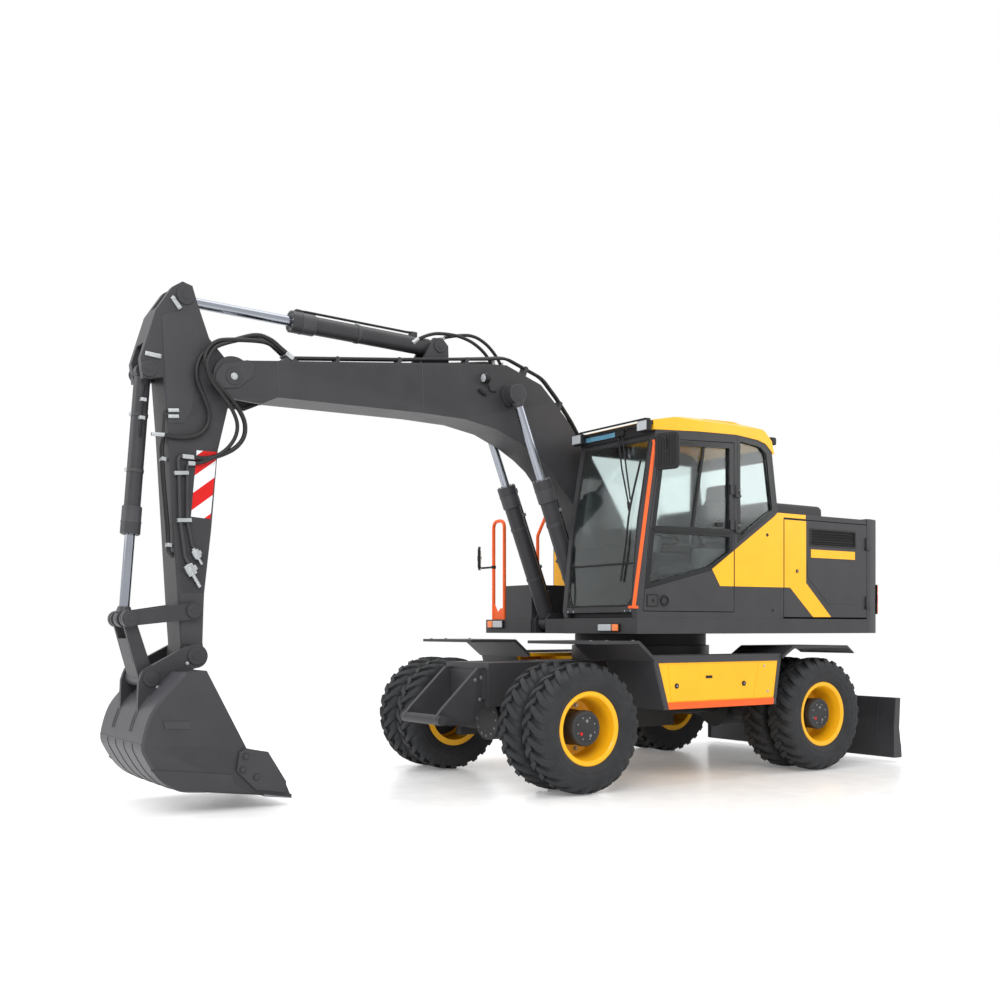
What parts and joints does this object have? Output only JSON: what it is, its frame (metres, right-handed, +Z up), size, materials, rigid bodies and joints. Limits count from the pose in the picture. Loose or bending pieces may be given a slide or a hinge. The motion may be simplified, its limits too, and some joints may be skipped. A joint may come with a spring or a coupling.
{
  "type": "wheeled excavator",
  "caption": "Wheeled excavator with twin tyres, glazed cab, one-piece boom, arm with bucket linkage, hydraulic cylinders and a rear dozer blade; wheels, steering, slew, boom and doors move.",
  "frame": {"origin": "on the ground, midway along the length and on the middle plane of the wheels", "axes": "+X forward over the front axle, +Y to the driver's left, +Z up"},
  "size_m": [7.0406, 2.98, 3.7731],
  "materials": {
    "charcoal": "satin charcoal paint",
    "dark": "satin black paint",
    "yellow": "gloss yellow paint",
    "tyre": "matt rubber",
    "chrome": "polished",
    "glass": "clear tinted",
    "orange": "gloss orange paint",
    "lamp": "clear lens",
    "seat": "woven",
    "plastic": "grained",
    "engine": "painted casting"
  },
  "bodies": {
    "chassis": {"chassis_frame": "charcoal", "slew_ring": "dark", "front_axle": "dark", "rear_axle": "dark", "drive_line": "dark", "front_bracket": "charcoal", "fenders": "charcoal", "step_boxes": "yellow"},
    "knuckle_left": {"knuckle_left": "dark"},
    "knuckle_right": {"knuckle_right": "dark"},
    "wheel_fl": {"rims_fl": "yellow", "tyres_fl": "tyre", "hub_fl": "dark"},
    "wheel_fr": {"rims_fr": "yellow", "tyres_fr": "tyre", "hub_fr": "dark"},
    "wheel_rl": {"rims_rl": "yellow", "tyres_rl": "tyre", "hub_rl": "dark"},
    "wheel_rr": {"rims_rr": "yellow", "tyres_rr": "tyre", "hub_rr": "dark"},
    "blade": {"blade": "charcoal"},
    "blade_barrels": {"blade_barrels": "charcoal"},
    "blade_rods": {"blade_rods": "chrome"},
    "upper": {"upper_frame": "charcoal", "counterweight": "dark", "engine_block": "engine", "house_frame": "dark", "fuel_tank": "dark", "tool_box": "dark", "handrails": "orange", "lamps": "lamp", "mirrors": "dark", "cab_left": "dark", "cab_right_wall": "dark", "cab_floor": "dark", "cab_front_bars": "dark", "cab_rear_wall": "dark", "cab_roof": "yellow", "cab_glass": "glass", "seat": "seat", "controls": "plastic"},
    "hood": {"hood": "yellow"},
    "left_door": {"left_door": "yellow"},
    "right_door": {"right_door": "yellow"},
    "cab_door": {"cab_door": "dark", "door_glass": "glass"},
    "boom": {"boom": "charcoal"},
    "boom_barrels": {"boom_barrels": "charcoal"},
    "boom_rods": {"boom_rods": "chrome"},
    "arm": {"arm": "charcoal"},
    "arm_barrel": {"arm_barrel": "charcoal"},
    "arm_rod": {"arm_rod": "chrome"},
    "bucket": {"bucket": "charcoal"},
    "bucket_link": {"bucket_link": "charcoal"},
    "rocker_links": {"rocker_links": "charcoal"},
    "bucket_barrel": {"bucket_barrel": "charcoal"},
    "bucket_rod": {"bucket_rod": "chrome"}
  },
  "joints": [
    {"name": "slew", "type": "hinge", "parent": "chassis", "child": "upper", "pos_m": [-1.29028, 0, 1.2], "axis": [0, 0, 1], "continuous": true},
    {"name": "steer_left", "type": "hinge", "parent": "chassis", "child": "knuckle_left", "pos_m": [0.30972, 0.59, 0.51], "axis": [0, 0, 1], "range_deg": [-26, 26]},
    {"name": "steer_right", "type": "hinge", "parent": "chassis", "child": "knuckle_right", "pos_m": [0.30972, -0.59, 0.51], "axis": [0, 0, 1], "range_deg": [-27, 27]},
    {"name": "wheel_fl_spin", "type": "hinge", "parent": "knuckle_left", "child": "wheel_fl", "pos_m": [0.30972, 0.975, 0.51], "axis": [0, 1, 0], "continuous": true},
    {"name": "wheel_fr_spin", "type": "hinge", "parent": "knuckle_right", "child": "wheel_fr", "pos_m": [0.30972, -0.975, 0.51], "axis": [0, 1, 0], "continuous": true},
    {"name": "wheel_rl_spin", "type": "hinge", "parent": "chassis", "child": "wheel_rl", "pos_m": [-2.39028, 0.975, 0.51], "axis": [0, 1, 0], "continuous": true},
    {"name": "wheel_rr_spin", "type": "hinge", "parent": "chassis", "child": "wheel_rr", "pos_m": [-2.39028, -0.975, 0.51], "axis": [0, 1, 0], "continuous": true},
    {"name": "blade_lift", "type": "hinge", "parent": "chassis", "child": "blade", "pos_m": [-2.69028, 0, 0.48], "axis": [0, 1, 0], "range_deg": [-12, 30]},
    {"name": "blade_barrel_pivot", "type": "hinge", "parent": "chassis", "child": "blade_barrels", "pos_m": [-2.68028, 0, 0.88], "axis": [0, 1, 0], "range_deg": [-9.26, 22.4]},
    {"name": "blade_rod_slide", "type": "slide", "parent": "blade_barrels", "child": "blade_rods", "axis": [-0.8009, 0, -0.5988], "range_m": [-0.18, 0.073]},
    {"name": "cab_door_hinge", "type": "hinge", "parent": "upper", "child": "cab_door", "pos_m": [-1.27828, 1.243, 2.3], "axis": [0, 0, 1], "range_deg": [0, 120]},
    {"name": "hood_hinge", "type": "hinge", "parent": "upper", "child": "hood", "pos_m": [-3.00128, 0, 2.309], "axis": [0, -1, 0], "range_deg": [0, 60]},
    {"name": "left_door_hinge", "type": "hinge", "parent": "upper", "child": "left_door", "pos_m": [-3.00928, 1.239, 1.9], "axis": [0, 0, 1], "range_deg": [0, 100]},
    {"name": "right_door_hinge", "type": "hinge", "parent": "upper", "child": "right_door", "pos_m": [-3.00928, -1.239, 1.9], "axis": [0, 0, -1], "range_deg": [0, 100]},
    {"name": "boom_lift", "type": "hinge", "parent": "upper", "child": "boom", "pos_m": [-1.17028, -0.1, 1.76], "axis": [0, -1, 0], "range_deg": [-50, 34]},
    {"name": "boom_barrel_pivot", "type": "hinge", "parent": "upper", "child": "boom_barrels", "pos_m": [-0.49028, -0.1, 1.34], "axis": [0, -1, 0], "range_deg": [-49.5, 33.82]},
    {"name": "boom_rod_slide", "type": "slide", "parent": "boom_barrels", "child": "boom_rods", "axis": [0.3619, 0, 0.9322], "range_m": [-0.648, 0.441]},
    {"name": "arm_swing", "type": "hinge", "parent": "boom", "child": "arm", "pos_m": [2.7158, -0.1, 3.1285], "axis": [0, 1, 0], "range_deg": [-75, 22]},
    {"name": "arm_barrel_pivot", "type": "hinge", "parent": "boom", "child": "arm_barrel", "pos_m": [0.90948, -0.1, 3.62151], "axis": [0, 1, 0], "range_deg": [-3.65, 1.42]},
    {"name": "arm_rod_slide", "type": "slide", "parent": "arm_barrel", "child": "arm_rod", "axis": [0.9997, 0, 0.0244], "range_m": [-0.738, 0.218]},
    {"name": "bucket_curl", "type": "hinge", "parent": "arm", "child": "bucket", "pos_m": [3.01389, -0.1, 1.08513], "axis": [0, 1, 0], "range_deg": [-60, 105]},
    {"name": "rocker_pivot", "type": "hinge", "parent": "arm", "child": "rocker_links", "pos_m": [3.01717, -0.1, 1.409], "axis": [0, 1, 0], "range_deg": [-35.3, 61.4]},
    {"name": "bucket_link_pivot", "type": "hinge", "parent": "bucket", "child": "bucket_link", "pos_m": [3.33589, -0.1, 0.93113], "axis": [0, 1, 0], "range_deg": [-53, 30.5]},
    {"name": "bucket_barrel_pivot", "type": "hinge", "parent": "arm", "child": "bucket_barrel", "pos_m": [3.32395, -0.1, 3.11617], "axis": [0, 1, 0], "range_deg": [-3.5, 5.75]},
    {"name": "bucket_rod_slide", "type": "slide", "parent": "bucket_barrel", "child": "bucket_rod", "axis": [0.077, 0, -0.997], "range_m": [-0.222, 0.387]}
  ],
  "couplings": [
    {"joint": "blade_barrel_pivot", "follows": "blade_lift", "ratio": 0.73},
    {"joint": "blade_rod_slide", "follows": "blade_lift", "m_per_rad": -0.34},
    {"joint": "boom_barrel_pivot", "follows": "boom_lift", "ratio": 0.98},
    {"joint": "boom_rod_slide", "follows": "boom_lift", "m_per_rad": 0.74},
    {"joint": "arm_barrel_pivot", "follows": "arm_swing", "ratio": 0.042},
    {"joint": "arm_rod_slide", "follows": "arm_swing", "m_per_rad": 0.562},
    {"joint": "rocker_pivot", "follows": "bucket_curl", "ratio": 0.58},
    {"joint": "bucket_link_pivot", "follows": "bucket_curl", "ratio": -0.5},
    {"joint": "bucket_barrel_pivot", "follows": "bucket_curl", "ratio": 0.05},
    {"joint": "bucket_rod_slide", "follows": "bucket_curl", "m_per_rad": 0.21},
    {"joint": "steer_right", "follows": "steer_left", "ratio": 1}
  ]
}
